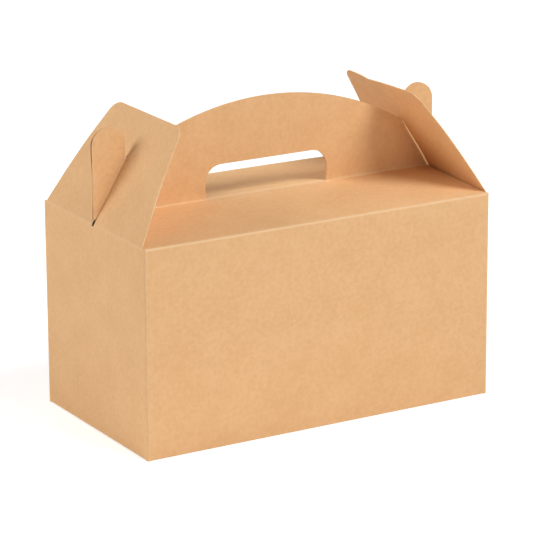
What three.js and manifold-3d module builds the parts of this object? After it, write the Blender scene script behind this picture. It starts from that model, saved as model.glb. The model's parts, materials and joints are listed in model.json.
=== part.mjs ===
// Gable box: a carry-home carton folded from one die-cut sheet of brown kraft board.
// Millimetres, +Z up. X runs along the handle, the front faces -Y, and the origin is under
// the middle of the base.
import * as THREE from 'three';
import { mergeVertices } from 'three/addons/utils/BufferGeometryUtils.js';
import Module from 'manifold-3d';

const wasm = await Module();
wasm.setup();

// The board and the four walls
const board = 0.5;            // thickness of the sheet
const bodyLength = 242;       // outside, along X
const bodyWidth = 130;        // outside, along Y
const bodyHeight = 130.5;     // base to the top folds
const wallFoldRadius = 1.2;   // outside radius of the four upright folds

// The roof and the two handle panels that stand on it
const roofRise = 4.5;         // from the wall's top fold to the fold at the handle's foot
const topFoldRadius = 1;      // rounding of the fold along the top of a long wall
const footFoldRadius = 0.5;   // rounding of the fold at the handle's foot
const handleHeight = 64.5;    // wall's top fold to the top of the arch
const layerGap = 0.6;         // air between the two handle panels
const holeLength = 85.3;      // hand hole, along X
const holeTop = 25.4;         // wall's top fold to the top of the hand hole
const holeCornerRadius = 9;
const holeLipRise = 3.6;      // how far the hole's lower edge bows up past the handle's foot

// The locking ears at the handle's ends
const earEndInset = 0.4;      // end wall's face to the ear's outer edge
const earWidth = 22;
const earTop = 58.5;          // wall's top fold to the top of the ear
const notchFloor = 37.2;      // wall's top fold to the floor of the notch beside the ear

// The gable flaps, which fold up from the end walls and hook over the ears
const flapLength = 74.4;      // fold to top edge
const flapBaseInset = 3;      // wall's corner to the flap's foot
const flapTaper = 15.4;       // degrees that each side leans towards the middle
const flapCornerRadius = 10;
const reliefRadius = 1.3;     // round hole that ends the slit at the fold
const foldGap = 0.6;          // from the fold's axis to the flap's lower edge
const clearance = 0.3;        // air round what passes through or lies against the flaps

// The base, closed by a plate of inner flaps and one outer flap
const lockFlapDepth = 82;     // front fold to the outer flap's free edge
const lockFlapInset = 3;      // wall's face to the outer flap's sides
const lockTabLength = 92;     // along X at the tab's root
const lockTabDepth = 18;
const lockTabCorner = 14;

// Derived places
const halfLength = bodyLength / 2;
const halfWidth = bodyWidth / 2;
const layerFace = layerGap / 2;             // inner face of a handle panel, from the middle
const layerBack = layerFace + board;        // its outer face
const earOuter = halfLength - earEndInset;
const earInner = earOuter - earWidth;

// A hooked flap leans in until its outer face lies against the ears at the notch's floor.
// Its slit ends, and the arch begins, where the flap's inner face clears the notch.
const leanAngle = Math.atan2(halfLength - earInner + clearance, notchFloor);
const slitEnd = (notchFloor + clearance + board * Math.sin(leanAngle)) / Math.cos(leanAngle);
const archEnd = halfLength - slitEnd * Math.sin(leanAngle) - board * Math.cos(leanAngle) - clearance;
const flapDepthAlongX = board / Math.cos(leanAngle);

const handleFoot = roofRise + footFoldRadius;
const stripOverlap = 2 * topFoldRadius;     // how far a folded strip runs down its wall
const kraftColour = 0xd9a36c;
const curveSteps = 10;
const boreSides = 16;

// Solids and meshes

function solidOf(geometry, place = new THREE.Matrix4()) {
  const placed = geometry.clone().applyMatrix4(place);
  placed.deleteAttribute('normal');
  placed.deleteAttribute('uv');
  const merged = mergeVertices(placed);
  return new wasm.Manifold(new wasm.Mesh({
    numProp: 3,
    vertProperties: merged.attributes.position.array,
    triVerts: Uint32Array.from(merged.index.array),
  }));
}

function geometryOf(solid) {
  const cut = solid.getMesh();
  const geometry = new THREE.BufferGeometry();
  geometry.setAttribute('position', new THREE.BufferAttribute(cut.vertProperties, 3));
  geometry.setIndex(new THREE.BufferAttribute(cut.triVerts, 1));
  geometry.computeVertexNormals();
  return geometry;
}

function sheetOf(outline, thickness = board) {
  return new THREE.ExtrudeGeometry(outline, {
    depth: thickness,
    bevelEnabled: false,
    curveSegments: curveSteps,
  });
}

function boardMesh(name, geometry) {
  const kraft = new THREE.MeshStandardMaterial({
    color: kraftColour,
    roughness: 0.85,
    metalness: 0,
  });
  const mesh = new THREE.Mesh(geometry, kraft);
  mesh.name = name;
  return mesh;
}

// An upright sheet whose outline is drawn in X and Z. Its far face is at y.
function uprightPlace(y, z) {
  const place = new THREE.Matrix4().makeBasis(
    new THREE.Vector3(1, 0, 0),
    new THREE.Vector3(0, 0, 1),
    new THREE.Vector3(0, -1, 0),
  );
  return place.setPosition(0, y, z);
}

// The body: four walls folded from one strip

function roundedRectangle(shape, halfX, halfY, radius) {
  shape.moveTo(halfX, -halfY + radius);
  shape.lineTo(halfX, halfY - radius);
  shape.absarc(halfX - radius, halfY - radius, radius, 0, Math.PI / 2);
  shape.lineTo(-halfX + radius, halfY);
  shape.absarc(-halfX + radius, halfY - radius, radius, Math.PI / 2, Math.PI);
  shape.lineTo(-halfX, -halfY + radius);
  shape.absarc(-halfX + radius, -halfY + radius, radius, Math.PI, 1.5 * Math.PI);
  shape.lineTo(halfX - radius, -halfY);
  shape.absarc(halfX - radius, -halfY + radius, radius, 1.5 * Math.PI, 2 * Math.PI);
  return shape;
}

function wallSleeve() {
  const outline = roundedRectangle(new THREE.Shape(), halfLength, halfWidth, wallFoldRadius);
  const inside = roundedRectangle(
    new THREE.Path(),
    halfLength - board,
    halfWidth - board,
    wallFoldRadius - board,
  );
  outline.holes.push(inside);
  return solidOf(sheetOf(outline, bodyHeight));
}

// The base: inner flaps as one plate, and the outer flap with its locking tab below it, which
// runs up into the middle of the plate so that the two are one

function innerBase() {
  const outline = roundedRectangle(
    new THREE.Shape(),
    halfLength - board / 2,
    halfWidth - board / 2,
    wallFoldRadius,
  );
  return solidOf(sheetOf(outline), new THREE.Matrix4().makeTranslation(0, 0, board));
}

function outerBaseFlap() {
  const halfFlap = halfLength - lockFlapInset;
  const edge = -halfWidth + lockFlapDepth;
  const tabEdge = edge + lockTabDepth;
  const halfTab = lockTabLength / 2;
  const outline = new THREE.Shape();
  outline.moveTo(-halfFlap, -halfWidth + board / 2);
  outline.lineTo(halfFlap, -halfWidth + board / 2);
  outline.lineTo(halfFlap, edge);
  outline.lineTo(halfTab, edge);
  outline.quadraticCurveTo(halfTab, tabEdge, halfTab - lockTabCorner, tabEdge);
  outline.lineTo(-halfTab + lockTabCorner, tabEdge);
  outline.quadraticCurveTo(-halfTab, tabEdge, -halfTab, edge);
  outline.lineTo(-halfFlap, edge);
  outline.closePath();
  return solidOf(sheetOf(outline, 1.5 * board));
}

// One long wall's top, its roof panel and its handle panel are one strip, folded twice.
// This is the strip's section, drawn in Y and Z from the wall's top fold.

function stripSection() {
  const slope = Math.atan2(roofRise, halfWidth - layerBack);
  const alongRoof = new THREE.Vector2(Math.cos(slope), Math.sin(slope));
  const underRoof = (y) => (y + halfWidth) * Math.tan(slope) - board / Math.cos(slope);
  const outerFold = new THREE.Vector2(-halfWidth, 0);
  const outerFoot = new THREE.Vector2(-layerBack, roofRise);
  const innerFold = new THREE.Vector2(-halfWidth + board, underRoof(-halfWidth + board));
  const innerFoot = new THREE.Vector2(-layerFace, underRoof(-layerFace));
  const top = handleHeight + board;
  const section = new THREE.Shape();

  function foldAt(corner, before, after, radius) {
    const start = corner.clone().addScaledVector(before, -radius);
    const end = corner.clone().addScaledVector(after, radius);
    section.lineTo(start.x, start.y);
    section.quadraticCurveTo(corner.x, corner.y, end.x, end.y);
  }

  const up = new THREE.Vector2(0, 1);
  const down = up.clone().negate();
  const downRoof = alongRoof.clone().negate();
  section.moveTo(-halfWidth, -stripOverlap);
  foldAt(outerFold, up, alongRoof, topFoldRadius);
  foldAt(outerFoot, alongRoof, up, footFoldRadius);
  section.lineTo(-layerBack, top);
  section.lineTo(-layerFace, top);
  foldAt(innerFoot, down, downRoof, footFoldRadius);
  foldAt(innerFold, downRoof, down, topFoldRadius - board);
  section.lineTo(-halfWidth + board, -stripOverlap);
  section.closePath();
  return section;
}

// The roof panel's outline from above: its ends are cut back to lie clear of the gable flaps

function roofOutline() {
  const wallEnd = halfLength - flapDepthAlongX - clearance;
  const handleEnd = wallEnd - handleFoot * Math.tan(leanAngle);
  return new THREE.Shape([
    new THREE.Vector2(-wallEnd, -bodyWidth),
    new THREE.Vector2(wallEnd, -bodyWidth),
    new THREE.Vector2(wallEnd, -halfWidth + board),
    new THREE.Vector2(handleEnd, -layerBack),
    new THREE.Vector2(handleEnd, 0),
    new THREE.Vector2(-handleEnd, 0),
    new THREE.Vector2(-handleEnd, -layerBack),
    new THREE.Vector2(-wallEnd, -halfWidth + board),
  ]);
}

// The handle panel's outline: an arch between two notches, with the stubs of the ears beside them

function handleOutline() {
  const sagitta = handleHeight - notchFloor;
  const archRadius = (archEnd ** 2 + sagitta ** 2) / (2 * sagitta);
  const archCentre = handleHeight - archRadius;
  const endAngle = Math.atan2(notchFloor - archCentre, archEnd);
  const outline = new THREE.Shape();
  outline.moveTo(-earOuter, handleFoot);
  outline.lineTo(earOuter, handleFoot);
  outline.lineTo(earOuter, notchFloor);
  outline.lineTo(archEnd, notchFloor);
  outline.absarc(0, archCentre, archRadius, endAngle, Math.PI - endAngle);
  outline.lineTo(-earOuter, notchFloor);
  outline.closePath();
  return outline;
}

// The hand hole: round at its upper corners, its lower edge bowed up in the middle

function handHole() {
  const halfHole = holeLength / 2;
  const shoulder = holeTop - holeCornerRadius;
  const hole = new THREE.Shape();
  hole.moveTo(halfHole, handleFoot);
  hole.lineTo(halfHole, shoulder);
  hole.absarc(halfHole - holeCornerRadius, shoulder, holeCornerRadius, 0, Math.PI / 2);
  hole.lineTo(-halfHole + holeCornerRadius, holeTop);
  hole.absarc(-halfHole + holeCornerRadius, shoulder, holeCornerRadius, Math.PI / 2, Math.PI);
  hole.lineTo(-halfHole, handleFoot);
  hole.quadraticCurveTo(0, handleFoot + 2 * holeLipRise, halfHole, handleFoot);
  return hole;
}

function foldedStrip() {
  const sweep = new THREE.Matrix4().makeBasis(
    new THREE.Vector3(0, 1, 0),
    new THREE.Vector3(0, 0, 1),
    new THREE.Vector3(1, 0, 0),
  );
  sweep.setPosition(-halfLength, 0, bodyHeight);
  const strip = solidOf(sheetOf(stripSection(), bodyLength), sweep);
  const roofDepth = 2 * stripOverlap + handleFoot + board;
  const roofPlace = new THREE.Matrix4().makeTranslation(0, 0, bodyHeight - 2 * stripOverlap);
  const roofBlank = solidOf(sheetOf(roofOutline(), roofDepth), roofPlace);
  const handleBlank = solidOf(sheetOf(handleOutline(), bodyWidth), uprightPlace(0, bodyHeight));
  const hole = solidOf(sheetOf(handHole(), bodyWidth), uprightPlace(0, bodyHeight));
  return strip.intersect(roofBlank.add(handleBlank)).subtract(hole);
}

// The long walls end below the top folds, where the folded strips take over

function stripSeat() {
  const wallEnd = halfLength - flapDepthAlongX - clearance;
  const seat = new THREE.BoxGeometry(2 * wallEnd, 2 * bodyWidth, 2 * topFoldRadius);
  return solidOf(seat, new THREE.Matrix4().makeTranslation(0, 0, bodyHeight));
}

// Half of the round relief hole lies in each end wall, half in the flap above it

function reliefCut() {
  const bore = new THREE.CylinderGeometry(reliefRadius, reliefRadius, 2 * bodyLength, boreSides);
  bore.rotateZ(Math.PI / 2);
  return solidOf(bore, new THREE.Matrix4().makeTranslation(0, 0, bodyHeight));
}

function carton() {
  const frontTop = foldedStrip();
  const backTop = solidOf(geometryOf(frontTop), new THREE.Matrix4().makeRotationZ(Math.PI));
  const walls = wallSleeve().subtract(stripSeat()).subtract(reliefCut());
  const folded = walls.add(innerBase()).add(outerBaseFlap()).add(frontTop).add(backTop);
  return boardMesh('carton', geometryOf(folded));
}

// One locking ear: the round head above the notch's floor

function lockingEar(name, end, layerY) {
  const radius = earWidth / 2;
  const shoulder = earTop - notchFloor - radius;
  const outline = new THREE.Shape();
  outline.moveTo(-radius, 0);
  outline.lineTo(radius, 0);
  outline.lineTo(radius, shoulder);
  outline.absarc(0, shoulder, radius, 0, Math.PI);
  outline.closePath();
  const ear = boardMesh(name, sheetOf(outline).applyMatrix4(uprightPlace(0, 0)));
  ear.position.set(end * (earOuter - radius), layerY, bodyHeight + notchFloor);
  return ear;
}

// One gable flap. X is drawn along the fold and Y up the flap from the fold's axis. The slit
// runs from the relief hole to the bridge that drops into the notches beside the ears.

function gableFlapOutline() {
  const taper = THREE.MathUtils.degToRad(flapTaper);
  const halfFoot = halfWidth - flapBaseInset;
  const halfTop = halfFoot - (flapLength - foldGap) * Math.tan(taper);
  const slitHalf = layerBack + clearance;
  const cornerRun = flapCornerRadius * Math.tan((Math.PI / 2 - taper) / 2);
  const side = new THREE.Vector2(Math.sin(taper), -Math.cos(taper)).multiplyScalar(cornerRun);
  const reliefHalf = Math.sqrt(reliefRadius ** 2 - foldGap ** 2);
  const reliefTop = Math.sqrt(Math.max(reliefRadius ** 2 - slitHalf ** 2, 0));
  const outline = new THREE.Shape();
  outline.moveTo(Math.max(reliefHalf, slitHalf), foldGap);
  outline.lineTo(halfFoot, foldGap);
  outline.lineTo(halfTop + side.x, flapLength + side.y);
  outline.quadraticCurveTo(halfTop, flapLength, halfTop - cornerRun, flapLength);
  outline.lineTo(-halfTop + cornerRun, flapLength);
  outline.quadraticCurveTo(-halfTop, flapLength, -halfTop - side.x, flapLength + side.y);
  outline.lineTo(-halfFoot, foldGap);
  outline.lineTo(-Math.max(reliefHalf, slitHalf), foldGap);
  outline.lineTo(-slitHalf, Math.max(reliefTop, foldGap));
  outline.lineTo(-slitHalf, slitEnd);
  outline.lineTo(slitHalf, slitEnd);
  outline.lineTo(slitHalf, Math.max(reliefTop, foldGap));
  outline.closePath();
  return outline;
}

function gableFlap(name, turn) {
  const inwards = new THREE.Vector3(Math.cos(leanAngle), 0, -Math.sin(leanAngle));
  const upFlap = new THREE.Vector3(Math.sin(leanAngle), 0, Math.cos(leanAngle));
  const place = new THREE.Matrix4().makeBasis(new THREE.Vector3(0, 1, 0), upFlap, inwards);
  place.setPosition(-halfLength, 0, bodyHeight);
  const flap = boardMesh(name, sheetOf(gableFlapOutline()).applyMatrix4(place));
  flap.rotation.z = turn;
  return flap;
}

const gableBox = new THREE.Group();
gableBox.add(
  carton(),
  gableFlap('left_gable_flap', 0),
  gableFlap('right_gable_flap', Math.PI),
  lockingEar('left_front_ear', -1, -layerFace),
  lockingEar('left_back_ear', -1, layerBack),
  lockingEar('right_front_ear', 1, -layerFace),
  lockingEar('right_back_ear', 1, layerBack),
);

export default gableBox;
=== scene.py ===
# %% [markdown]
# # A kraft gable box
# The box is one die-cut sheet of brown board. It is folded into a body, a nearly flat roof, and two
# handle panels that stand back to back. A gable flap at each end leans in and hooks over the
# handle's round ears. The CAD model is the fixed frame: every size here is read from it, or is a
# named value in millimetres turned into metres.

# %% Load the frame
import json
import math

import bpy
from mathutils import Matrix, Vector


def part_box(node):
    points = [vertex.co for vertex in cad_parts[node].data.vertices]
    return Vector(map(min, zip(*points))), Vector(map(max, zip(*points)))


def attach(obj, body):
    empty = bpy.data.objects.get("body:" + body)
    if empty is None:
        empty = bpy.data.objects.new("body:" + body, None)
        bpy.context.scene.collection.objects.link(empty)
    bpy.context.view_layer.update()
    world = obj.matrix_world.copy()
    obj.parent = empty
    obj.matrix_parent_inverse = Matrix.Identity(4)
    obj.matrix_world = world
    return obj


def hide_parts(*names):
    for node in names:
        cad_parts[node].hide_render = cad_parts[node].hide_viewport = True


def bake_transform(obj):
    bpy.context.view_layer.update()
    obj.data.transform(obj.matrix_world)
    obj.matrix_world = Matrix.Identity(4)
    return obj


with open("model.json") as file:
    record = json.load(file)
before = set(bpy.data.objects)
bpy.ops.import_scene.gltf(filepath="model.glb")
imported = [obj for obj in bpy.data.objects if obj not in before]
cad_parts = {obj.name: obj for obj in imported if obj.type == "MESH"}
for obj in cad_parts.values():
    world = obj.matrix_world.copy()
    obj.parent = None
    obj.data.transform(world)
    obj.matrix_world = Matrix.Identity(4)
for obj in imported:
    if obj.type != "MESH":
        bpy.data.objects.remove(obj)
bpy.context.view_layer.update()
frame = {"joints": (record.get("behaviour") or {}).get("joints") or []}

# %% Sizes read from the frame
MM = 0.001
carton_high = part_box("carton")[1]
ear_low, ear_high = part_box("right_front_ear")
half_length = carton_high.x
half_width = carton_high.y
arch_top = carton_high.z
wall_top = frame["joints"][0]["pos_m"][2]
board = ear_high.y - ear_low.y
panel_face = -ear_low.y
ear_outer = ear_high.x
ear_inner = ear_low.x
ear_top = ear_high.z
notch_floor = ear_low.z
print("walls end at", round(wall_top / MM, 1), "mm and the board is", round(board / MM, 2), "mm thick")

# %% Sizes of the folds and cuts
roof_rise = 4.5 * MM
top_fold_radius = 1.2 * MM
foot_fold_radius = 0.6 * MM
corner_fold_radius = 1.3 * MM
base_fold_radius = 0.8 * MM
roof_end_gap = 0.9 * MM
notch_width = 1.9 * MM
hole_left = -43.9 * MM
hole_right = 42.5 * MM
hole_top = wall_top + 25.4 * MM
hole_corner = 11 * MM
handle_foot = wall_top + roof_rise
ear_drop = 1.8 * MM
ear_drop_start = half_length - 3.2 * MM

sheet_gap = 0.1 * MM
seam_gap = 0.6 * MM
glue_width = 15 * MM
glue_taper = 0.9
glue_face = half_width - board - sheet_gap
base_inset = 3 * MM
base_step = 1.5 * MM
lock_flap_depth = 82 * MM
lock_tab_half = 46 * MM
lock_tab_depth = 18 * MM
lock_tab_corner = 13 * MM
back_flap_depth = 70 * MM
end_flap_depth = 55 * MM

flap_lean = math.atan2(half_length - ear_inner, notch_floor - wall_top)
flap_length = 74.4 * MM
flap_inset = 3 * MM
flap_taper = math.radians(15.4)
flap_corner_run = 7.6 * MM
slit_half = 1.2 * MM
slit_end = 44.3 * MM
relief_half = 1.25 * MM
fold_seat = 2.4 * MM
flap_fold_radius = 0.7 * MM
print("the gable flaps lean in by", round(math.degrees(flap_lean), 1), "degrees")

# %% [markdown]
# ## The camera
# The photograph was taken with a long lens from the front left, a little above the box. A long
# lens keeps the upright folds nearly parallel, so the camera stands almost two metres off. Its
# axes are written as a matrix, because that also gives the photograph's slight roll.

# %% Camera
camera_azimuth = math.radians(-30.308)
camera_elevation = math.radians(16.581)
camera_roll = math.radians(-0.349)
camera_distance = 1.9641
camera_target = Vector((-0.76 * MM, 0, 85.64 * MM))
camera_lens = 213.845

camera_data = bpy.data.cameras.new("camera")
camera_data.lens = camera_lens
camera_data.sensor_width = 36
camera_data.clip_start = 0.05
camera = bpy.data.objects.new("camera", camera_data)
bpy.context.scene.collection.objects.link(camera)
bpy.context.scene.camera = camera

back = Vector((
    math.sin(camera_azimuth) * math.cos(camera_elevation),
    -math.cos(camera_azimuth) * math.cos(camera_elevation),
    math.sin(camera_elevation),
))
level = Vector((0, 0, 1)).cross(back).normalized()
upright = back.cross(level)
right = level * math.cos(camera_roll) + upright * math.sin(camera_roll)
up = upright * math.cos(camera_roll) - level * math.sin(camera_roll)
camera.matrix_world = Matrix.Translation(camera_target + back * camera_distance) @ Matrix((
    right,
    up,
    back,
)).transposed().to_4x4()

# %% [markdown]
# ## Tools for working on a mesh
# Blender's operators act on what is selected. These helpers select one object, or the corners,
# edges or faces of it whose place passes a test, and cut it along straight lines.


# %% Selecting and slicing
def work_on(piece):
    if bpy.context.object and bpy.context.object.mode == "EDIT":
        bpy.ops.object.mode_set(mode="OBJECT")
    bpy.ops.object.select_all(action="DESELECT")
    piece.select_set(True)
    bpy.context.view_layer.objects.active = piece


def pick(piece, kind, test):
    """Selects what passes the test, and leaves the piece in edit mode. The test takes the middle
    of a vertex, edge or face, and an edge's direction or a face's normal."""
    work_on(piece)
    bpy.ops.object.mode_set(mode="EDIT")
    bpy.ops.mesh.select_mode(type=kind)
    bpy.ops.mesh.select_all(action="DESELECT")
    bpy.ops.object.mode_set(mode="OBJECT")
    mesh = piece.data
    count = 0
    if kind == "VERT":
        for vertex in mesh.vertices:
            vertex.select = test(vertex.co)
            count += vertex.select
    elif kind == "EDGE":
        for edge in mesh.edges:
            a, b = (mesh.vertices[i].co for i in edge.vertices)
            edge.select = test((a + b) / 2, (b - a).normalized())
            count += edge.select
    else:
        for face in mesh.polygons:
            face.select = test(face.center, face.normal)
            count += face.select
    bpy.ops.object.mode_set(mode="EDIT")
    return count


def slice_at(piece, normal, places, clear_beyond=False):
    """Cuts the piece along planes with that normal. clear_beyond drops what lies past them."""
    work_on(piece)
    bpy.ops.object.mode_set(mode="EDIT")
    bpy.ops.mesh.select_mode(type="VERT")
    for place in places:
        bpy.ops.mesh.select_all(action="SELECT")
        bpy.ops.mesh.bisect(
            plane_co=Vector(normal) * place,
            plane_no=normal,
            clear_outer=clear_beyond,
            clear_inner=False,
        )
    bpy.ops.object.mode_set(mode="OBJECT")


def near(a, b, within=0.01 * MM):
    return abs(a - b) < within


def steps(low, high, pitch):
    """Evenly spaced places between low and high, about a pitch apart."""
    count = max(1, round((high - low) / pitch))
    return [low + (high - low) * i / count for i in range(1, count)]


def join_all(pieces, name):
    work_on(pieces[0])
    for piece in pieces[1:]:
        piece.select_set(True)
    bpy.ops.object.join()
    joined = bpy.context.object
    joined.name = name
    return joined


def settle(piece):
    """Puts the piece's place into its mesh, so that its object sits at the origin."""
    work_on(piece)
    bpy.ops.object.transform_apply(location=True, rotation=True, scale=True)


# %% [markdown]
# ## The body
# The real body is one strip: a narrow glue flap, an end wall, the front wall, the other end wall
# and the back wall, folded round and glued in a back corner. A cube could stand for it, but the
# strip is made here as it is folded: a plane for the glue flap, whose free edge is extruded four
# times round the body. So the glued corner shows the back wall's cut edge, as the real one does.


# %% Walls from one strip
def extrude_edge(piece, test, *moves):
    """Extrudes the edges that pass the test, once for each move, one move after another."""
    pick(piece, "EDGE", test)
    for move in moves:
        bpy.ops.mesh.extrude_edges_move(TRANSFORM_OT_translate={"value": move})
    bpy.ops.object.mode_set(mode="OBJECT")


def make_walls():
    bpy.ops.mesh.primitive_plane_add(
        size=1,
        location=(half_length - glue_width / 2, glue_face, wall_top / 2),
        rotation=(-math.pi / 2, 0, 0),
    )
    strip = bpy.context.object
    strip.scale = (glue_width, wall_top, 1)
    settle(strip)
    extrude_edge(
        strip,
        lambda middle, along: near(middle.x, half_length),
        (0, -half_width - glue_face, 0),
        (-2 * half_length, 0, 0),
        (0, 2 * half_width, 0),
        (2 * half_length - seam_gap, 0, 0),
    )
    glue_edge = half_length - glue_width
    pick(strip, "EDGE", lambda middle, along: near(middle.x, glue_edge) and middle.y > 0)
    bpy.ops.transform.resize(value=(1, 1, glue_taper), center_override=(0, 0, wall_top / 2))
    bpy.ops.object.mode_set(mode="OBJECT")
    return strip


walls = make_walls()
print("walls:", len(walls.data.polygons), "faces with the glue flap")

# %% [markdown]
# The roof panels grow out of the long walls' top edges. The base flaps grow out of the bottom
# edges: the front one lies outermost and ends in a locking tab, the others lie above it. Each
# starts a little inside the corners, where the real sheet is cut, so the strip is sliced there.


# %% Roof panels and base flaps
def add_roof(piece):
    roof_end = half_length - roof_end_gap
    handle_end = roof_end - roof_rise * math.tan(flap_lean)
    slice_at(piece, (1, 0, 0), [-roof_end, roof_end])
    for side in (-1, 1):
        extrude_edge(
            piece,
            lambda middle, along: near(middle.z, wall_top)
            and near(middle.y, side * half_width)
            and abs(middle.x) < roof_end / 2,
            (0, -side * (half_width - panel_face), roof_rise),
        )
        bpy.ops.object.mode_set(mode="EDIT")
        bpy.ops.transform.resize(value=(handle_end / roof_end, 1, 1), center_override=(0, 0, 0))
        bpy.ops.object.mode_set(mode="OBJECT")


def add_base(piece):
    flap_end = half_length - base_inset
    end_flap_side = half_width - base_inset
    slice_at(piece, (1, 0, 0), [-flap_end, -lock_tab_half, lock_tab_half, flap_end])
    slice_at(piece, (0, 1, 0), [-end_flap_side, end_flap_side])

    def on_long_edge(y, half_span):
        return lambda middle, along: near(middle.z, 0) and near(middle.y, y) and abs(middle.x) < half_span

    def on_end_edge(x):
        return lambda middle, along: (
            near(middle.z, 0) and near(middle.x, x) and abs(middle.y) < end_flap_side
        )

    lock_edge = lock_flap_depth - half_width
    tab_edge = lock_flap_depth + lock_tab_depth - half_width
    lock_moves = (0, base_step, 0), (0, lock_flap_depth - base_step, 0)
    extrude_edge(piece, on_long_edge(-half_width, flap_end), *lock_moves)
    extrude_edge(piece, on_long_edge(lock_edge, lock_tab_half), (0, lock_tab_depth, 0))
    pick(
        piece,
        "VERT",
        lambda place: near(place.z, 0)
        and near(place.y, tab_edge)
        and near(abs(place.x), lock_tab_half),
    )
    bpy.ops.mesh.bevel(offset=lock_tab_corner, segments=8, affect="VERTICES")
    bpy.ops.object.mode_set(mode="OBJECT")
    back_moves = (0, -base_step, board + sheet_gap), (0, -back_flap_depth, 0)
    extrude_edge(piece, on_long_edge(half_width, flap_end), *back_moves)
    for end in (-1, 1):
        end_moves = (-end * base_step, 0, 2 * board + 3 * sheet_gap), (-end * end_flap_depth, 0, 0)
        extrude_edge(piece, on_end_edge(end * half_length), *end_moves)


add_roof(walls)
add_base(walls)
print("with roof panels and base flaps:", len(walls.data.polygons), "faces")

# %% [markdown]
# ## The handle panels
# Each panel's arch is part of a large circle, so a disc is sliced down to it. The hand hole's cell
# is sliced out of the disc, its two upper corners are rounded with a vertex bevel, and the cell's
# face is deleted. The ear is a plain rectangle whose top corners are bevelled by half its width,
# which makes its round head. A narrow root joins it to the arch below the notch, and its outer
# side reaches down past the roof's end.


# %% Handle panels
def make_handle_panel(side):
    """One handle panel, facing -Y for side -1 and +Y for side 1."""
    arch_end = ear_inner - notch_width
    sagitta = arch_top - notch_floor
    arch_radius = (arch_end**2 + sagitta**2) / (2 * sagitta)
    face_y = side * panel_face
    turn = (-side * math.pi / 2, 0, 0)
    bpy.ops.mesh.primitive_circle_add(
        vertices=720,
        radius=arch_radius,
        fill_type="NGON",
        location=(0, face_y, arch_top - arch_radius),
        rotation=turn,
    )
    arch = bpy.context.object
    settle(arch)
    slice_at(arch, (0, 0, -1), [-handle_foot], clear_beyond=True)
    slice_at(arch, (1, 0, 0), [arch_end], clear_beyond=True)
    slice_at(arch, (-1, 0, 0), [arch_end], clear_beyond=True)
    slice_at(arch, (1, 0, 0), [hole_left, hole_right])
    slice_at(arch, (0, 0, 1), [hole_top])
    pick(
        arch,
        "VERT",
        lambda place: near(place.z, hole_top) and (near(place.x, hole_left) or near(place.x, hole_right)),
    )
    bpy.ops.mesh.bevel(offset=hole_corner, segments=10, affect="VERTICES")
    bpy.ops.object.mode_set(mode="OBJECT")
    pick(
        arch,
        "FACE",
        lambda middle, normal: hole_left / 2 < middle.x < hole_right / 2 and middle.z < hole_top,
    )
    bpy.ops.mesh.delete(type="FACE")
    bpy.ops.object.mode_set(mode="OBJECT")

    parts = [arch]
    ear_width = ear_outer - ear_inner
    for end in (-1, 1):
        bpy.ops.mesh.primitive_plane_add(
            size=1,
            location=(end * (ear_outer + ear_inner) / 2, face_y, (handle_foot + ear_top) / 2),
            rotation=turn,
        )
        ear = bpy.context.object
        ear.scale = (ear_width, ear_top - handle_foot, 1)
        settle(ear)
        pick(ear, "VERT", lambda place: near(place.z, ear_top))
        bpy.ops.mesh.bevel(offset=ear_width / 2 - 0.01 * MM, segments=14, affect="VERTICES")
        bpy.ops.object.mode_set(mode="OBJECT")
        slice_at(ear, (end, 0, 0), [ear_drop_start])
        extrude_edge(
            ear,
            lambda middle, along: near(middle.z, handle_foot) and abs(middle.x) > ear_drop_start,
            (0, 0, -ear_drop),
        )
        bpy.ops.mesh.primitive_plane_add(
            size=1,
            location=(end * (arch_end + ear_inner) / 2, face_y, (handle_foot + notch_floor) / 2),
            rotation=turn,
        )
        root = bpy.context.object
        root.scale = (notch_width, notch_floor - handle_foot, 1)
        settle(root)
        parts += [ear, root]
    return join_all(parts, "handle_panel")


panels = [make_handle_panel(side) for side in (-1, 1)]
print("handle panels:", [len(p.data.polygons) for p in panels], "faces")

# %% [markdown]
# ## One sheet
# Walls, roof and handle panels are joined and sliced together by one grid, so that their corners
# meet exactly along the folds, and doubles are merged. The grid also gives the sheet enough
# corners to curve. The top of each end wall is then cut away where the gable flap will continue
# it, because the flap is made as a piece of its own.


# %% Join, slice and merge
handle_pitch = 4 * MM
roof_pitch = 5 * MM
wall_pitch = 12 * MM
merge_distance = 0.02 * MM


def slice_into_grid(piece):
    slice_at(piece, (1, 0, 0), steps(-half_length, half_length, handle_pitch))
    slice_at(piece, (1, 0, 0), [-ear_inner, ear_inner, hole_left, hole_right])
    slice_at(piece, (0, 1, 0), steps(-half_width, -panel_face, roof_pitch))
    slice_at(piece, (0, 1, 0), steps(panel_face, half_width, roof_pitch))
    slice_at(piece, (0, 0, 1), steps(0, wall_top, wall_pitch))
    slice_at(piece, (0, 0, 1), [wall_top - fold_seat])
    slice_at(piece, (0, 0, 1), steps(handle_foot, notch_floor, handle_pitch))
    slice_at(piece, (0, 0, 1), steps(notch_floor, arch_top, handle_pitch))
    slice_at(piece, (0, 0, 1), [notch_floor])


def under_gable_flap(middle, normal):
    """True for the faces at an end wall's top that the gable flap will stand in for."""
    at_top = wall_top - fold_seat < middle.z < wall_top
    return abs(normal.x) > 0.9 and at_top and abs(middle.y) < half_width - flap_inset


carton = join_all([walls, *panels], "carton_board")
slice_into_grid(carton)
pick(carton, "VERT", lambda place: True)
bpy.ops.mesh.remove_doubles(threshold=merge_distance)
bpy.ops.object.mode_set(mode="OBJECT")
pick(carton, "FACE", under_gable_flap)
bpy.ops.mesh.delete(type="FACE")
bpy.ops.object.mode_set(mode="OBJECT")
print("one sheet:", len(carton.data.polygons), "faces")

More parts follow.
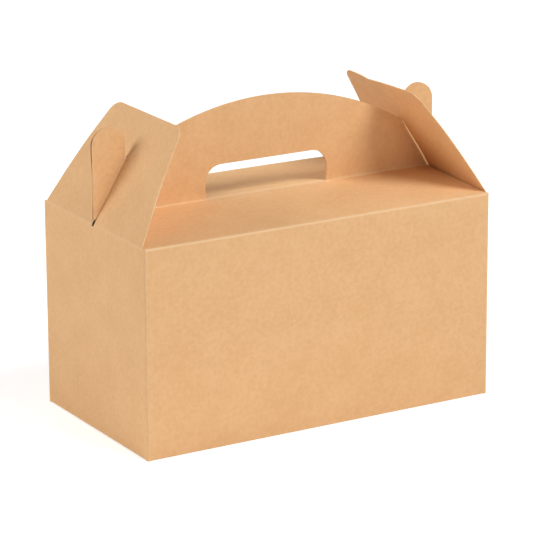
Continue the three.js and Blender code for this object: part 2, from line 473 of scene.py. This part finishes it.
# %% [markdown]
# ## The lip in the hand hole
# The board that was cut free for the hand hole is pushed back through it. What is left of it
# runs on from the front roof panel, over the ridge, and comes to rest on the back roof panel.
# It is extruded from the roof's edge in short steps that follow its curve. Each step is a reach
# over the ridge and a rise above the handle's foot, in millimetres.


# %% Lip
lip_steps_mm = (
    (1.5, 0.35),
    (3.0, 0.65),
    (4.5, 0.8),
    (6.0, 0.75),
    (7.5, 0.5),
    (9.0, 0.15),
    (10.4, -0.1),
    (11.4, -0.2),
)
lip_least_share = 0.04


def lip_window(x):
    """1 in the middle of the hole and 0 at its ends."""
    middle, half = (hole_left + hole_right) / 2, (hole_right - hole_left) / 2
    along = min(1, abs(x - middle) / half)
    return math.sqrt(1 - along**4)


def on_front_ridge(middle, along):
    at_foot = near(middle.z, handle_foot) and near(middle.y, -panel_face)
    return at_foot and hole_left < middle.x < hole_right


def add_lip(piece):
    pick(piece, "EDGE", on_front_ridge)
    for reach, rise in lip_steps_mm:
        bpy.ops.mesh.extrude_edges_move(TRANSFORM_OT_translate={"value": (0, 1 * MM, 0)})
        bpy.ops.object.mode_set(mode="OBJECT")
        for vertex in piece.data.vertices:
            if vertex.select:
                share = max(lip_least_share, lip_window(vertex.co.x))
                vertex.co.y = -panel_face + reach * MM * share
                vertex.co.z = handle_foot + rise * MM * share
        bpy.ops.object.mode_set(mode="EDIT")
    bpy.ops.object.mode_set(mode="OBJECT")


add_lip(carton)

# %% [markdown]
# ## Rounded folds
# Board is pressed along its folds and bends round a small radius, which catches the light. Each
# fold's edges are found by their place and bevelled.


# %% Round the folds
def round_fold(piece, test, radius, segments):
    found = pick(piece, "EDGE", test)
    bpy.ops.mesh.bevel(offset=radius, segments=segments, affect="EDGES", clamp_overlap=True)
    bpy.ops.object.mode_set(mode="OBJECT")
    return found


def on_corner_fold(middle, along):
    on_side = near(abs(middle.y), half_width) or near(middle.y, glue_face)
    return near(abs(middle.x), half_length) and on_side and abs(along.z) > 0.9


def on_top_fold(middle, along):
    on_edge = near(middle.z, wall_top) and near(abs(middle.y), half_width)
    return on_edge and abs(middle.x) < half_length - roof_end_gap


def on_foot_fold(middle, along):
    on_edge = near(middle.z, handle_foot) and near(abs(middle.y), panel_face)
    roof_meets_handle = abs(middle.x) < half_length - roof_end_gap - roof_rise * math.tan(flap_lean)
    return on_edge and roof_meets_handle and not hole_left < middle.x < hole_right


def on_base_fold(middle, along):
    on_long = near(abs(middle.y), half_width) and abs(middle.x) < half_length - base_inset
    on_end = near(abs(middle.x), half_length) and abs(middle.y) < half_width - base_inset
    return near(middle.z, 0) and (on_long or on_end)


found = [
    round_fold(carton, on_corner_fold, corner_fold_radius, 4),
    round_fold(carton, on_top_fold, top_fold_radius, 4),
    round_fold(carton, on_foot_fold, foot_fold_radius, 3),
    round_fold(carton, on_base_fold, base_fold_radius, 3),
]
print("fold edges rounded at the corners, roof, handle and base:", found)

# %% [markdown]
# ## Spring in the board
# Folded board never lies quite flat. The back wall bows out under the roof, and the two layers of
# each ear spring apart at their outer edge, the back one most. Proportional editing would do this
# by hand. Here the vertices are moved by a formula, which keeps the bend smooth and exact.


# %% Bow the back wall and part the ears
def ease(value, low, high):
    """0 below low, 1 above high, and smooth between."""
    t = min(1, max(0, (value - low) / (high - low)))
    return t * t * (3 - 2 * t)


back_wall_bow = 3.4 * MM
ear_spread = 1.3 * MM
front_ear_share = 0.15
ear_foot_share = 0.5
ear_foot_from, ear_foot_to = 7 * MM, 16 * MM
ear_head_from, ear_head_to = 26 * MM, 50 * MM


def spring_carton(piece):
    for vertex in piece.data.vertices:
        p = vertex.co
        if p.y > panel_face * 1.5:
            across = max(0, 1 - (p.x / half_length) ** 2)
            p.y += back_wall_bow * across * ease(p.z, 0, wall_top) * ease(p.y, 0, half_width)
        if abs(p.y) < 1.2 * panel_face and abs(p.x) > ear_inner and p.z > wall_top:
            outward = (abs(p.x) - ear_inner) / (ear_outer - ear_inner)
            height = p.z - wall_top
            head = ease(height, ear_head_from, ear_head_to)
            foot = ease(-height, -ear_foot_to, -ear_foot_from)
            part = head + ear_foot_share * foot
            p.y += ear_spread * outward * part * (1 if p.y > 0 else front_ear_share)


spring_carton(carton)

# %% [markdown]
# ## Thickness and cut edges
# Solidify gives the sheet its thickness, inwards from the printed side. The rim that it makes is
# where the die cut the board, and it gets a material of its own, because a cut edge is paler than
# the board's face. Solidify leaves a few inner corners just under the floor, and they are lifted.


# %% Solidify
kraft = bpy.data.materials.new("kraft_board")
kraft.use_nodes = True
cut_edge = bpy.data.materials.new("kraft_cut_edge")
cut_edge.use_nodes = True


def give_thickness(piece):
    work_on(piece)
    piece.data.materials.clear()
    piece.data.materials.append(kraft)
    piece.data.materials.append(cut_edge)
    solid = piece.modifiers.new("thickness", "SOLIDIFY")
    solid.thickness = board
    solid.offset = -1
    solid.use_even_offset = True
    solid.use_rim = True
    solid.material_offset_rim = 1
    bpy.ops.object.modifier_apply(modifier="thickness")
    for vertex in piece.data.vertices:
        vertex.co.z = max(0, vertex.co.z)
    bpy.ops.object.shade_smooth_by_angle(angle=math.radians(32))


give_thickness(carton)
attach(carton, "carton")
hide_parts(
    "carton",
    "left_front_ear",
    "left_back_ear",
    "right_front_ear",
    "right_back_ear",
)
print("carton:", len(carton.data.polygons), "faces with its thickness")

# %% [markdown]
# ## The gable flaps
# A flap starts as a flat rectangle in the end wall's plane. Its top edge is drawn in, its top
# corners are rounded with a vertex bevel, and the cells of its slit are deleted. Then it is
# folded: all above the fold line is turned about the fold. Its foot stays in the wall's plane and
# carries the wall on to the fold, so that the hinge bends in one piece of board.


# %% Gable flap, flat
flap_pitch = 2.5 * MM


def in_slit(middle, normal):
    in_cut = abs(middle.y) < slit_half and wall_top - relief_half < middle.z < wall_top + slit_end
    in_relief = abs(middle.y) < relief_half and abs(middle.z - wall_top) < relief_half
    return in_cut or in_relief


def at_relief_corner(place):
    return near(place.z, wall_top - relief_half) and near(abs(place.y), relief_half)


def make_flat_flap(end):
    """The gable flap at one end, still flat: end is -1 for the left one and 1 for the right."""
    foot = half_width - flap_inset
    top_half = foot - flap_length * math.tan(flap_taper)
    low = wall_top - fold_seat
    bpy.ops.mesh.primitive_plane_add(size=1, rotation=(math.pi / 2, 0, end * math.pi / 2))
    flap = bpy.context.object
    flap.scale = (2 * foot, flap_length + fold_seat, 1)
    flap.location = (end * half_length, 0, (low + wall_top + flap_length) / 2)
    settle(flap)
    slice_at(flap, (0, 0, 1), [wall_top])
    pick(flap, "VERT", lambda place: near(place.z, wall_top + flap_length))
    bpy.ops.transform.resize(value=(1, top_half / foot, 1), center_override=(0, 0, 0))
    bpy.ops.mesh.bevel(offset=flap_corner_run, segments=8, affect="VERTICES")
    bpy.ops.object.mode_set(mode="OBJECT")

    slice_at(flap, (0, 1, 0), [-relief_half, -slit_half, slit_half, relief_half])
    slice_at(flap, (0, 0, 1), [wall_top - relief_half, wall_top + relief_half, wall_top + slit_end])
    pick(flap, "FACE", in_slit)
    bpy.ops.mesh.delete(type="FACE")
    bpy.ops.object.mode_set(mode="OBJECT")
    pick(flap, "VERT", at_relief_corner)
    bpy.ops.mesh.bevel(offset=0.9 * relief_half, segments=4, affect="VERTICES")
    bpy.ops.object.mode_set(mode="OBJECT")
    slice_at(flap, (0, 1, 0), steps(-foot, -relief_half, flap_pitch))
    slice_at(flap, (0, 1, 0), steps(relief_half, foot, flap_pitch))
    slice_at(flap, (0, 0, 1), steps(wall_top + relief_half, wall_top + slit_end, flap_pitch))
    slice_at(flap, (0, 0, 1), steps(wall_top + slit_end, wall_top + flap_length, flap_pitch))
    return flap


# %% [markdown]
# The handle pushes the flap out of flat. Its sides bow outwards, its top curls in a little, and
# from the slit's end a soft crease runs up and back, where the bridge over the ears gives way. A
# small dimple lies beside it. Then all above the fold line is turned, and the fold is rounded.


# %% Bend and fold the flap
flap_bow = 1.1 * MM
bow_at_middle = 0.2
flap_curl = 0.9 * MM
curl_from = 0.55
still_height = 0.5 * MM
slit_spread = 0.5 * MM
slit_spread_reach = 9 * MM
crease_lean = 0.38
crease_from = 0.35
crease_back_width = 11 * MM
crease_front_width = 22 * MM
dimple_rise = 6 * MM
dimple_width = 3.5 * MM
dimple_height = 9 * MM


def flap_shape(across, up, crease_deep, dimple_deep):
    """How far a point of the flap stands out from its plane. across is to the back, up is from
    the fold, and crease_deep is the crease's depth at the slit's end and at the top edge. The
    dimple lies beside the crease, just above the slit's end."""
    rise = up / flap_length
    side = min(1, abs(across) / half_width)
    bow_share = bow_at_middle + (1 - bow_at_middle) * side**2
    out = flap_bow * math.sin(math.pi * min(1, rise)) * bow_share
    out -= flap_curl * ease(rise, curl_from, 1.0)
    beside = across - crease_lean * max(0, up - slit_end)
    if up < slit_end:
        deep = crease_deep[0] * ease(up, crease_from * slit_end, slit_end)
    else:
        share = (up - slit_end) / (flap_length - slit_end)
        deep = crease_deep[0] + (crease_deep[1] - crease_deep[0]) * share
    width = crease_back_width if beside > 0 else crease_front_width
    out -= deep * math.exp(-abs(beside) / width)
    if beside > 0:
        near_slit = math.exp(-(((up - slit_end - dimple_rise) / dimple_height) ** 2))
        away = beside / dimple_width
        out -= dimple_deep * near_slit * away * math.exp(1 - away)
    return out


def bend_flap(flap, end, crease_deep, dimple_deep):
    for vertex in flap.data.vertices:
        p = vertex.co
        up = p.z - wall_top
        if up > still_height:
            p.x += end * flap_shape(p.y, up, crease_deep, dimple_deep)
            if up < slit_end and p.y < 0:
                spread = slit_spread * math.sin(math.pi * up / slit_end)
                p.y -= spread * math.exp((p.y + slit_half) / slit_spread_reach)


def fold_flap(flap, end):
    pick(flap, "VERT", lambda place: place.z > wall_top + 0.01 * MM)
    bpy.ops.transform.rotate(
        value=end * flap_lean,
        orient_axis="Y",
        center_override=(end * half_length, 0, wall_top),
    )
    bpy.ops.object.mode_set(mode="OBJECT")
    round_fold(
        flap,
        lambda middle, along: near(middle.z, wall_top) and abs(along.y) > 0.9,
        flap_fold_radius,
        3,
    )


crease_depths = {"left": (0.35 * MM, 0.2 * MM), "right": (0.9 * MM, 1.7 * MM)}
dimple_depths = {"left": 0.9 * MM, "right": 0.5 * MM}
for end, side_name in ((-1, "left"), (1, "right")):
    flap = make_flat_flap(end)
    flap.name = side_name + "_flap_board"
    bend_flap(flap, end, crease_depths[side_name], dimple_depths[side_name])
    fold_flap(flap, end)
    give_thickness(flap)
    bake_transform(flap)
    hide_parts(side_name + "_gable_flap")
    top = max(flap.data.vertices, key=lambda v: v.co.z).co
    print(flap.name, len(flap.data.polygons), "faces, top at", [round(c / MM, 1) for c in top])

# %% [markdown]
# ## Kraft board
# Uncoated kraft board is brown wood fibre. Close up it shows soft clouds where the fibre lies
# thicker, a fine grain along the sheet, and a few dark flecks of bark. Where it is folded the
# stretched fibre turns paler, and the pale line along each fold is also a painted highlight of the
# rounded fold catching the light. A cut edge is paler still. Each effect is one node group with
# its own inputs, built once and placed in both materials. All read Object coordinates, so the
# pattern runs on across the folds.


# %% Helpers for node groups
def new_group(name, inputs, outputs):
    """A shader node group. inputs and outputs are (name, kind) or (name, kind, default) rows."""
    group = bpy.data.node_groups.new(name, "ShaderNodeTree")
    for row in inputs:
        socket = group.interface.new_socket(name=row[0], in_out="INPUT", socket_type="NodeSocket" + row[1])
        if len(row) > 2:
            socket.default_value = row[2]
    for row in outputs:
        group.interface.new_socket(name=row[0], in_out="OUTPUT", socket_type="NodeSocket" + row[1])
    return group, group.nodes.new("NodeGroupInput"), group.nodes.new("NodeGroupOutput")


def feed(tree, socket, value):
    """Links the value to the socket if it is another node's output, or else sets it there."""
    if isinstance(value, bpy.types.NodeSocket):
        tree.links.new(value, socket)
    else:
        socket.default_value = value


def add_node(tree, kind, values=None, **settings):
    node = tree.nodes.new("ShaderNode" + kind)
    for name, value in settings.items():
        setattr(node, name, value)
    for name, value in (values or {}).items():
        feed(tree, node.inputs[name], value)
    return node


def add_math(tree, operation, first, second=0.0, clamp=False):
    node = add_node(tree, "Math", {0: first, 1: second}, operation=operation, use_clamp=clamp)
    return node.outputs[0]


def map_range(tree, value, low, high, to_low=0.0, to_high=1.0):
    inputs = {"Value": value, "From Min": low, "From Max": high, "To Min": to_low, "To Max": to_high}
    return add_node(tree, "MapRange", inputs, interpolation_type="SMOOTHSTEP").outputs["Result"]


# %% Clouds, grain and flecks
cloud_share = 0.4
fibre_share = 0.6
felt_scale = 1500.0
fleck_sharpness = 16.0


def make_clouds():
    """Soft blotches of thick and thin fibre, from 0 to 1."""
    rows = [("Place", "Vector"), ("Cloud Scale", "Float", 55.0), ("Mottle Scale", "Float", 380.0)]
    group, inside, outside = new_group("kraft_clouds", rows, [("Cloud", "Float")])
    place = inside.outputs["Place"]
    clouds = add_node(
        group,
        "TexNoise",
        {"Vector": place, "Scale": inside.outputs["Cloud Scale"], "Detail": 3.0, "Roughness": 0.55},
    )
    mottle = add_node(
        group,
        "TexNoise",
        {"Vector": place, "Scale": inside.outputs["Mottle Scale"], "Detail": 4.0, "Roughness": 0.6},
    )
    large = add_math(group, "MULTIPLY", clouds.outputs["Fac"], cloud_share)
    small = add_math(group, "MULTIPLY", mottle.outputs["Fac"], 1 - cloud_share)
    both = add_math(group, "ADD", large, small)
    group.links.new(map_range(group, both, 0.3, 0.7), outside.inputs["Cloud"])
    return group


def make_grain():
    """Fine fibre, stretched along X. The height is for a bump."""
    rows = [
        ("Place", "Vector"),
        ("Fibre Scale", "Float", 900.0),
        ("Stretch", "Vector", (0.16, 1, 1)),
    ]
    results = [("Grain", "Float"), ("Height", "Float")]
    group, inside, outside = new_group("kraft_grain", rows, results)
    along = add_node(
        group,
        "VectorMath",
        {0: inside.outputs["Place"], 1: inside.outputs["Stretch"]},
        operation="MULTIPLY",
    )
    fibre_values = {
        "Vector": along.outputs[0],
        "Scale": inside.outputs["Fibre Scale"],
        "Detail": 5.0,
        "Roughness": 0.65,
    }
    fibre = add_node(group, "TexNoise", fibre_values)
    felt = add_node(
        group,
        "TexNoise",
        {"Vector": inside.outputs["Place"], "Scale": felt_scale, "Detail": 2.0, "Roughness": 0.6},
    )
    fibre_height = add_math(group, "MULTIPLY", fibre.outputs["Fac"], fibre_share)
    felt_height = add_math(group, "MULTIPLY", felt.outputs["Fac"], 1 - fibre_share)
    height = add_math(group, "ADD", fibre_height, felt_height)
    group.links.new(map_range(group, fibre.outputs["Fac"], 0.3, 0.7), outside.inputs["Grain"])
    group.links.new(height, outside.inputs["Height"])
    return group


def make_flecks():
    """A few small dark flecks of bark: 1 on a fleck and 0 elsewhere."""
    rows = [("Place", "Vector"), ("Scale", "Float", 640.0), ("Share", "Float", 0.745)]
    group, inside, outside = new_group("bark_flecks", rows, [("Fleck", "Float")])
    specks = add_node(
        group,
        "TexNoise",
        {"Vector": inside.outputs["Place"], "Scale": inside.outputs["Scale"], "Detail": 1.0},
    )
    above = add_math(group, "SUBTRACT", specks.outputs["Fac"], inside.outputs["Share"])
    fleck = add_math(group, "MULTIPLY", above, fleck_sharpness, clamp=True)
    group.links.new(fleck, outside.inputs["Fleck"])
    return group


# The pale line along each fold is partly fold wear and partly a painted highlight, where the rounded fold
# would catch the light.
def make_crease_wear_and_highlight():
    """Strength on a fold line and 0 past Width from it. The line is where First is First At and
    Second is Second At, each a distance along an axis."""
    rows = [
        ("First", "Float"),
        ("First At", "Float"),
        ("Second", "Float"),
        ("Second At", "Float"),
        ("Width", "Float", 1.6 * MM),
        ("Strength", "Float", 1.0),
    ]
    group, inside, outside = new_group("fold_wear", rows, [("Wear", "Float")])
    first = add_math(group, "SUBTRACT", inside.outputs["First"], inside.outputs["First At"])
    second = add_math(group, "SUBTRACT", inside.outputs["Second"], inside.outputs["Second At"])
    squares = add_math(
        group,
        "ADD",
        add_math(group, "MULTIPLY", first, first),
        add_math(group, "MULTIPLY", second, second),
    )
    distance = add_math(group, "SQRT", squares)
    share = add_math(group, "DIVIDE", distance, inside.outputs["Width"])
    near_line = map_range(group, share, 0.45, 1.0, 1.0, 0.0)
    wear_and_highlight = add_math(group, "MULTIPLY", near_line, inside.outputs["Strength"])
    group.links.new(wear_and_highlight, outside.inputs["Wear"])
    return group


clouds_group = make_clouds()
grain_group = make_grain()
flecks_group = make_flecks()
crease_wear_and_highlight_group = make_crease_wear_and_highlight()
print("node groups:", [g.name for g in bpy.data.node_groups])

# %% [markdown]
# The fold lines are known from the shape, so the fold wear and painted highlight is a mask of the
# distance to each line. An edge node would find the folds by itself, but it can't be baked for
# other programs. Each row of lines below names two axes with the line's place on each, then the
# width and strength of its wear and painted highlight.


# %% The two board materials
def add_group(tree, group, values):
    node = tree.nodes.new("ShaderNodeGroup")
    node.node_tree = group
    for name, value in values.items():
        feed(tree, node.inputs[name], value)
    return node


def mix_colour(tree, factor, first, second):
    node = add_node(tree, "Mix", data_type="RGBA")
    feed(tree, node.inputs["Factor"], factor)
    feed(tree, node.inputs[6], first)
    feed(tree, node.inputs[7], second)
    return node.outputs[2]


def strongest(tree, masks):
    result = masks[0]
    for mask in masks[1:]:
        result = add_math(tree, "MAXIMUM", result, mask)
    return result


def fold_masks(tree, place):
    axes = add_node(tree, "SeparateXYZ", {0: place}).outputs
    side_x = add_math(tree, "ABSOLUTE", axes["X"])
    side_y = add_math(tree, "ABSOLUTE", axes["Y"])
    height = axes["Z"]
    # Each row's strength sets how pale its fold line is painted, as fold wear and a painted highlight.
    lines = (
        (side_y, half_width - 0.3 * MM, height, wall_top - 0.2 * MM, 1.2 * MM, 0.75),
        (side_y, panel_face, height, handle_foot, 0.9 * MM, 0.7),
        (side_x, half_length - 0.4 * MM, side_y, half_width - 0.4 * MM, 1.2 * MM, 0.25),
        (side_x, half_length - 0.2 * MM, height, wall_top, 0.9 * MM, 0.4),
        (side_y, half_width - 0.3 * MM, height, 0.2 * MM, 1.2 * MM, 0.3),
        (side_x, half_length - 0.3 * MM, height, 0.2 * MM, 1.2 * MM, 0.3),
    )
    masks = []
    for first, first_at, second, second_at, width, strength in lines:
        values = {
            "First": first,
            "First At": first_at,
            "Second": second,
            "Second At": second_at,
            "Width": width,
            "Strength": strength,
        }
        masks.append(add_group(tree, crease_wear_and_highlight_group, values).outputs["Wear"])
    return strongest(tree, masks)


grain_strength = 0.35
fleck_strength = 0.25
bump_strength = 0.5
smoothest, roughest = 0.65, 0.8
board_specular = 0.2
bark_colour = (0.42, 0.2, 0.075, 1)


def finish_board(material, dark, light, worn_and_highlit, bump_distance):
    """Builds the board's look in the material from its dark and light colours and its pale fold colour,
    for fold wear and a painted highlight.
    """
    tree = material.node_tree
    shader = tree.nodes["Principled BSDF"]
    place = add_node(tree, "TexCoord").outputs["Object"]
    cloud = add_group(tree, clouds_group, {"Place": place}).outputs["Cloud"]
    grain = add_group(tree, grain_group, {"Place": place})
    fleck = add_group(tree, flecks_group, {"Place": place}).outputs["Fleck"]
    colour = mix_colour(tree, cloud, dark, light)
    grain_share = add_math(tree, "MULTIPLY", grain.outputs["Grain"], grain_strength)
    colour = mix_colour(tree, grain_share, colour, light)
    fleck_share = add_math(tree, "MULTIPLY", fleck, fleck_strength)
    colour = mix_colour(tree, fleck_share, colour, bark_colour)
    # Painted highlight: the fold mask pales the board along each fold, partly as fold wear and partly as a
    # painted highlight.
    wear_and_highlight = fold_masks(tree, place)
    colour = mix_colour(tree, wear_and_highlight, colour, worn_and_highlit)
    tree.links.new(colour, shader.inputs["Base Color"])
    rough = map_range(tree, grain.outputs["Grain"], 0.0, 1.0, smoothest, roughest)
    tree.links.new(rough, shader.inputs["Roughness"])
    bump = add_node(
        tree,
        "Bump",
        {"Height": grain.outputs["Height"], "Distance": bump_distance, "Strength": bump_strength},
    )
    tree.links.new(bump.outputs["Normal"], shader.inputs["Normal"])
    shader.inputs["Specular IOR Level"].default_value = board_specular


# The worn colours are the pale fold lines: fold wear and a painted highlight.
finish_board(
    kraft,
    dark=(0.765, 0.44, 0.205, 1),
    light=(0.845, 0.52, 0.262, 1),
    worn_and_highlit=(0.88, 0.6, 0.345, 1),
    bump_distance=0.08 * MM,
)
finish_board(
    cut_edge,
    dark=(0.81, 0.52, 0.27, 1),
    light=(0.89, 0.62, 0.36, 1),
    worn_and_highlit=(0.93, 0.68, 0.42, 1),
    bump_distance=0.05 * MM,
)
print("board materials:", kraft.name, "and", cut_edge.name)

# %% [markdown]
# ## Floor, backdrop and light
# The box stands on a plain white floor. A large soft lamp high in front, a little to the right, is
# the main light, so that the right gable flap shades the roof beside it. Weaker lamps on the left,
# behind, and low in front open the shadows. The white background is only what the camera sees:
# Light Path tells its rays from the light's.

# %% Floor and world
fill_level = 0.08
floor_glow = 0.45

bpy.ops.mesh.primitive_circle_add(vertices=96, radius=1.0, fill_type="NGON")
floor = bpy.context.object
floor.name = "floor"
floor_look = bpy.data.materials.new("white_floor")
floor_look.use_nodes = True
floor.data.materials.append(floor_look)


def seen_directly(tree):
    """1 for rays that show the background: the camera's, and those in metal and glass."""
    path = add_node(tree, "LightPath").outputs
    names = ("Is Camera Ray", "Is Glossy Ray", "Is Transmission Ray")
    return strongest(tree, [path[name] for name in names])


floor_shader = floor_look.node_tree.nodes["Principled BSDF"]
floor_shader.inputs["Base Color"].default_value = (0.93, 0.93, 0.93, 1)
floor_shader.inputs["Roughness"].default_value = 0.9
floor_shader.inputs["Emission Color"].default_value = (1, 1, 1, 1)
glow = add_math(floor_look.node_tree, "MULTIPLY", seen_directly(floor_look.node_tree), floor_glow)
floor_look.node_tree.links.new(glow, floor_shader.inputs["Emission Strength"])

world = bpy.data.worlds.new("studio")
bpy.context.scene.world = world
world.use_nodes = True
backdrop = world.node_tree.nodes["Background"]
backdrop.inputs["Color"].default_value = (1, 1, 1, 1)
direct = seen_directly(world.node_tree)
level_range = add_math(world.node_tree, "MULTIPLY", direct, 1 - fill_level)
strength = add_math(world.node_tree, "ADD", level_range, fill_level)
world.node_tree.links.new(strength, backdrop.inputs["Strength"])
print("the world lights at", fill_level, "and shows at 1")


# %% Soft lamps
lamp_target = Vector((0, 0, 90 * MM))


def add_soft_lamp(name, azimuth, elevation, distance, size, power):
    """A square lamp aimed at the box. Azimuth 0 is in front of it and 90 on its right."""
    turn, tilt = math.radians(azimuth), math.radians(elevation)
    away = Vector((math.sin(turn) * math.cos(tilt), -math.cos(turn) * math.cos(tilt), math.sin(tilt)))
    data = bpy.data.lights.new(name, "AREA")
    data.shape = "SQUARE"
    data.size = size
    data.energy = power
    lamp = bpy.data.objects.new(name, data)
    bpy.context.scene.collection.objects.link(lamp)
    lamp.location = lamp_target + away * distance
    lamp.rotation_euler = (-away).to_track_quat("-Z", "Y").to_euler()


add_soft_lamp("key_lamp", azimuth=30, elevation=50, distance=2.2, size=1.0, power=33)
add_soft_lamp("left_lamp", azimuth=-113, elevation=31, distance=2.0, size=1.1, power=22)
add_soft_lamp("back_lamp", azimuth=180, elevation=42, distance=2.2, size=1.2, power=6)
add_soft_lamp("low_lamp", azimuth=5, elevation=14, distance=2.2, size=1.2, power=7.5)
bpy.context.scene.view_settings.view_transform = "Standard"
